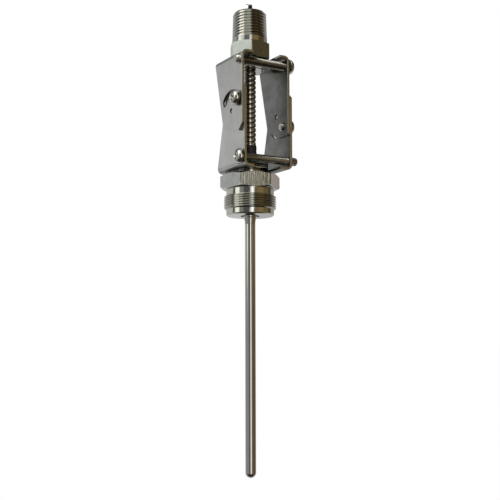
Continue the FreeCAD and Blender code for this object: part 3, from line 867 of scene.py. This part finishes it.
def hose_armour():
    """Wound strip with a rounded crest and a narrow groove on each turn, the groove painted near black as
    shade.
    """
    groove = 3.02
    groove_edge = 3.3
    ridge = [(groove, 0), (groove, 0.22), (3.4, 0.3), (3.62, 0.5), (3.73, 0.85), (3.75, 1.35), (3.72, 1.9),
             (3.62, 2.35), (3.45, 2.68), (3.2, 2.9), (groove, ARMOUR_PITCH)]
    hose = drawn_line("hose_armour", [(radius, 0, height) for radius, height in ridge])
    swept(hose, ARMOUR_PITCH, turns=21, steps=40)
    moved(hose, 0, 0, ARMOUR_BOTTOM - ARMOUR_PITCH / 2)
    alone(hose)
    bpy.ops.object.mode_set(mode="EDIT")
    for height, outer in ((ARMOUR_BOTTOM + 0.05, False), (ARMOUR_TOP, True)):
        bpy.ops.mesh.select_all(action="SELECT")
        bpy.ops.mesh.bisect(plane_co=(0, 0, height * MM), plane_no=(0, 0, 1), clear_outer=outer,
                            clear_inner=not outer)
    bpy.ops.object.mode_set(mode="OBJECT")
    tidy_shell(hose)
    face_outwards(hose)
    wall = hose.modifiers.new("strip_wall", "SOLIDIFY")
    wall.thickness = 0.3 * MM
    wall.offset = -1
    apply(hose, wall)
    painted(hose, STRIP_STEEL)
    # Painted shade in the grooves between the turns
    return lined(hose, STRIP_GROOVE_SHADE, lambda spot, normal: spot.xy.length < groove_edge)


def bent_with_head(piece, node):
    """Shade a piece of the hose, bake its placement into its mesh and hide its CAD node."""
    alone(piece)
    bpy.ops.object.shade_smooth_by_angle(angle=math.radians(40))
    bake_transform(piece)
    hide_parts(node)


LEAD_RADIUS = 0.65
LEAD_CIRCLE = 1.25
LEAD_SPOTS = [(LEAD_CIRCLE * math.cos(math.radians(a)), LEAD_CIRCLE * math.sin(math.radians(a)))
              for a in (90, 210, 330)]


def stem_lead_bundle():
    """Three leads inside the stem and the armour, joined as one piece."""
    element_top = -137
    heights = [element_top, 0, 20, *range(38, 86, 2), ARMOUR_TOP]
    lead = turning("stem_lead_bundle", [
        (0, element_top), *((LEAD_RADIUS, height) for height in heights), (0, ARMOUR_TOP)], 12)
    leads = [lead, copy_of(lead, "second_lead"), copy_of(lead, "third_lead")]
    for piece, (x, y) in zip(leads, LEAD_SPOTS):
        moved(piece, x, y, 0)
    bent_with_head(painted(joined(leads), LEAD_BLACK), "stem_leads")


def heat_shrink():
    """Black sleeve that shows the armour's turns through it."""
    rows = 42
    length = 10.4
    bore = 3.76
    radius = 4.02
    wave = 0.07
    outer = []
    for i in range(rows + 1):
        height = LOWER_TENON_TOP + length * i / rows
        swell = wave * math.cos(math.tau * (height - ARMOUR_BOTTOM) / ARMOUR_PITCH)
        outer.append((radius + swell, height))
    sleeve = turning("heat_shrink", [
        (bore, LOWER_TENON_TOP), *outer, (bore, LOWER_TENON_TOP + length), (bore, LOWER_TENON_TOP)], 48)
    fit(painted(bevelled(sleeve, 0.1), SLEEVE_BLACK), "shrink_sleeve", STEM)


def potting_plug():
    """Cast seal in the nipple's bore, drawn up a little at its wall and round the leads."""
    rim = 7.18
    hollow = 0.9
    rings = 14
    top = []
    for i in range(rings + 1):
        radius = rim - rim * i / rings
        at_wall = hollow * math.exp((radius - rim) / 0.7)
        at_leads = 0.5 * math.exp(-radius / 0.9)
        top.append((radius, SEAL_TOP - hollow + at_wall + at_leads))
    plug = turning("potting_plug", [(0, SEAL_BOTTOM), (rim, SEAL_BOTTOM), *top], 64)
    fit(painted(plug, POTTING), "lead_seal", HEAD)


def wire(name, spots, radius):
    """Round wire along a smooth line through control points."""
    curve = bpy.data.curves.new(name, "CURVE")
    curve.dimensions = "3D"
    curve.bevel_depth = radius * MM
    curve.bevel_resolution = 4
    curve.resolution_u = 6
    curve.use_fill_caps = True
    line = curve.splines.new("NURBS")
    line.points.add(len(spots) - 1)
    for point, spot in zip(line.points, spots):
        point.co = (*(Vector(spot) * MM), 1)
    line.order_u = 3
    line.use_endpoint_u = True
    piece = bpy.data.objects.new(name, curve)
    scene.collection.objects.link(piece)
    alone(piece)
    bpy.ops.object.convert(target="MESH")
    return tidy_shell(bpy.context.object)


def head_leads():
    """Three lead ends above the nipple, cut short, with bare strands and a torn bit of insulation."""
    strand_radius = 0.13
    insulation = []
    strands = []
    ends = [(0.25, 0.5, 127.2), (-0.42, -0.5, 127.1), (0.78, -0.45, 127.3)]
    for i, ((x, y), end) in enumerate(zip(LEAD_SPOTS, ends)):
        route = [(x, y, UPPER_TENON_END), (x, y, 105), (x, y, 119), (x, y, 124), end]
        insulation.append(wire(f"head_lead_{i}", route, LEAD_RADIUS))
        tip = Vector(end)
        way = (tip - Vector(route[-2])).normalized()
        for j in range(5):
            turn = j * 1.257 + i
            off = Vector((math.cos(turn), math.sin(turn), 0)) * 0.2
            low = tip - way * 0.6 + off
            high = tip + way * (0.3 + 0.2 * (j % 3)) + off * 1.3
            strands.append(wire(f"strand_{i}_{j}", [low, (low + high) / 2, high], strand_radius))
    torn = [(-0.5, -0.6, 126.7), (-0.9, -0.3, 127.9), (-2.0, 0.8, 127.6)]
    insulation.append(wire("torn_end", torn, 0.2))
    fit(painted(joined(insulation), LEAD_BLACK), "head_leads", HEAD, 40)
    fit(painted(joined(strands), COPPER), "lead_cores", HEAD, 40)


def element_and_packing():
    """Hidden ceramics keep their CAD shapes."""
    for node in ("rtd_element", "insulation_core"):
        painted(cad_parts[node], CERAMIC)


stem_tube()
stem_collar()
stem_bushing()
union_nut()
conduit_nipple()
retaining_nut("lower_thin_nut", "lower_retaining_nut", 23.6, STEM)
retaining_nut("upper_thin_nut", "upper_retaining_nut", 85.7, HEAD)
yoke("lower_yoke", "lower_bracket", STEM)
yoke("upper_yoke", "upper_bracket", HEAD)
fasteners()
bent_with_head(hose_armour(), "flex_armour")
stem_lead_bundle()
heat_shrink()
potting_plug()
head_leads()
element_and_packing()


# Studio

VIEW_PLACE = (-0.2749, -0.4748, -0.0772)
VIEW_LENS = 65.72
VIEW_TURN = math.radians(30.056)
VIEW_RISE = math.radians(5.441)
VIEW_ROLL = math.radians(-0.143)


def studio_camera():
    """Camera at the photograph's place, a little below the probe's middle and to its left."""
    lens = bpy.data.cameras.new("camera")
    lens.lens = VIEW_LENS
    lens.sensor_width = 36
    camera = bpy.data.objects.new("camera", lens)
    scene.collection.objects.link(camera)
    flat = math.cos(VIEW_RISE)
    ahead = Vector((math.sin(VIEW_TURN) * flat, math.cos(VIEW_TURN) * flat, math.sin(VIEW_RISE)))
    level = Vector((math.cos(VIEW_TURN), -math.sin(VIEW_TURN), 0))
    upright = level.cross(ahead)
    right = level * math.cos(VIEW_ROLL) + upright * math.sin(VIEW_ROLL)
    up = right.cross(ahead)
    turn = Matrix((right, up, -ahead)).transposed()
    camera.matrix_world = Matrix.Translation(VIEW_PLACE) @ turn.to_4x4()
    scene.camera = camera


# Walls round the probe at the heights of its stem, union and nipple: where each begins and ends,
# in degrees to the right of the camera's side, and its tone
LOW_WALLS = [
    (-180, -150, grey(0.6)), (-105, -42, grey(0.31)), (-30, -10, grey(0.12)), (9, 16, grey(1.2)),
    (30, 42, (0.2, 0.15, 0.09)), (60, 112, (0.14, 0.1, 0.04)), (150, 180, grey(0.5))]
MIDDLE_WALLS = [
    (-180, -170, grey(0.75)), (-150, -95, grey(0.59)), (-86, -81, grey(0.07)), (-73, -57, (1.3, 1.38, 1.26)),
    (-50, -37, grey(0.28)), (-28, -5, grey(0.1)), (9, 13, grey(1.8)), (20, 35, (0.2, 0.16, 0.09)),
    (45, 60, (0.28, 0.2, 0.085)), (70, 95, (0.17, 0.14, 0.065)), (104, 107, grey(0.025)),
    (124, 150, (0.42, 0.37, 0.34)), (175, 180, grey(0.75))]
HIGH_WALLS = [
    (-180, -178, grey(0.7)), (-163, -98, grey(0.46)), (-89, -85, grey(0.17)), (-73, -62, (1.25, 1.32, 1.22)),
    (-56, -42, (0.84, 0.88, 0.82)), (-32, -3, grey(0.17)), (4, 11, grey(0.95)), (17, 54, (0.24, 0.18, 0.085)),
    (67, 100, (0.09, 0.07, 0.035)), (117, 150, grey(0.27)), (178, 180, grey(0.7))]

# Tones over and under the walls, behind the probe, on the camera's side and to its right
SKY_BEHIND = (0.2, 0.205, 0.195)
SKY_NEAR = (0.9, 0.93, 0.88)
SKY_RIGHT = (0.05, 0.04, 0.025)
GROUND_BEHIND = grey(0.6)
GROUND_NEAR = (0.04, 0.036, 0.028)

# Where one ring of walls goes over into the next: the rise of a direction of unit length, and its fall
# for the ground
STEM_TO_UNION = (0.02, 0.12)
UNION_TO_NIPPLE = (0.2, 0.3)
NIPPLE_TO_SKY = (0.335, 0.4)
STEM_TO_GROUND = (0.3, 0.55)


def studio_world():
    """White backdrop, with pale and dark walls round the probe for its metal to show."""
    world = bpy.data.worlds.new("studio")
    scene.world = world
    world.use_nodes = True
    world.cycles.sampling_method = "NONE"
    bench = Bench(world.node_tree)
    way = bench.node("ShaderNodeTexCoord", output="Generated")
    x, y, z = bench.parts(way)
    across = x * math.cos(VIEW_TURN) - y * math.sin(VIEW_TURN)
    towards = 0 - x * math.sin(VIEW_TURN) - y * math.cos(VIEW_TURN)
    share = across.maths("ARCTAN2", across, towards) / math.tau + 0.5

    def ring(walls):
        stops = [((turn + 180) / 360, tone) for first, last, tone in walls for turn in (first, last)]
        return bench.node("ShaderNodeValToRGB", {"stops": stops}, {"Fac": share})

    lower = bench.mixed(bench.between(z, *STEM_TO_UNION), ring(LOW_WALLS), ring(MIDDLE_WALLS))
    wall = bench.mixed(bench.between(z, *UNION_TO_NIPPLE), lower, ring(HIGH_WALLS))
    skylight = bench.mixed(bench.between(towards, -0.3, 0.4), solid(SKY_BEHIND), solid(SKY_NEAR))
    sky = bench.mixed(bench.between(across, -0.05, 0.3), skylight, solid(SKY_RIGHT))
    above = bench.mixed(bench.between(z, *NIPPLE_TO_SKY), wall, sky)
    ground = bench.mixed(bench.between(towards, -0.5, 0.0), solid(GROUND_BEHIND), solid(GROUND_NEAR))
    shown = bench.mixed(bench.between(0 - z, *STEM_TO_GROUND), above, ground)
    glossy = bench.node("ShaderNodeLightPath", output="Is Glossy Ray")
    colour = bench.mixed(glossy, solid(grey(1.0)), shown)
    background = bench.tree.nodes["Background"]
    bench.tree.links.new(colour.output, background.inputs["Color"])
    background.inputs["Strength"].default_value = 1.0


def studio_floor():
    """White floor well below the probe, which shows white to the camera and takes a soft shadow."""
    level = -0.36
    bpy.ops.object.select_all(action="DESELECT")
    bpy.ops.mesh.primitive_plane_add(size=40, location=(0, 0, level))
    floor = bpy.context.object
    floor.name = "studio_floor"
    bpy.ops.object.transform_apply(location=True, rotation=True, scale=True)
    floor.visible_glossy = False
    material = bpy.data.materials.new("floor_white")
    material.use_nodes = True
    bench = Bench(material.node_tree)
    matt = bench.node("ShaderNodeBsdfDiffuse", {}, {"Color": solid(grey(0.98))})
    glow = bench.node("ShaderNodeEmission", {}, {"Color": solid(grey(1.0)), "Strength": 1.0})
    camera_ray = bench.node("ShaderNodeLightPath", output="Is Camera Ray")
    surface = bench.node("ShaderNodeMixShader", {}, {0: camera_ray * 0.9, 1: matt, 2: glow})
    output = bench.tree.nodes["Material Output"]
    bench.tree.links.new(surface.output, output.inputs["Surface"])
    painted(floor, material)


def studio_lamp(name, turn, rise, distance, size, power):
    """Soft square lamp, turned from the camera's side and raised, that faces the yokes."""
    light = bpy.data.lights.new(name, "AREA")
    light.size = size
    light.energy = power
    lamp = bpy.data.objects.new(name, light)
    scene.collection.objects.link(lamp)
    angle = VIEW_TURN - turn
    away = Vector((-math.sin(angle) * math.cos(rise), -math.cos(angle) * math.cos(rise), math.sin(rise)))
    aim = Vector((0, 0, 0.05))
    lamp.location = aim + away * distance
    lamp.rotation_euler = away.to_track_quat("Z", "Y").to_euler()


studio_camera()
studio_world()
studio_floor()
studio_lamp("key_lamp", math.radians(-62), math.radians(42), distance=1.2, size=0.8, power=3)
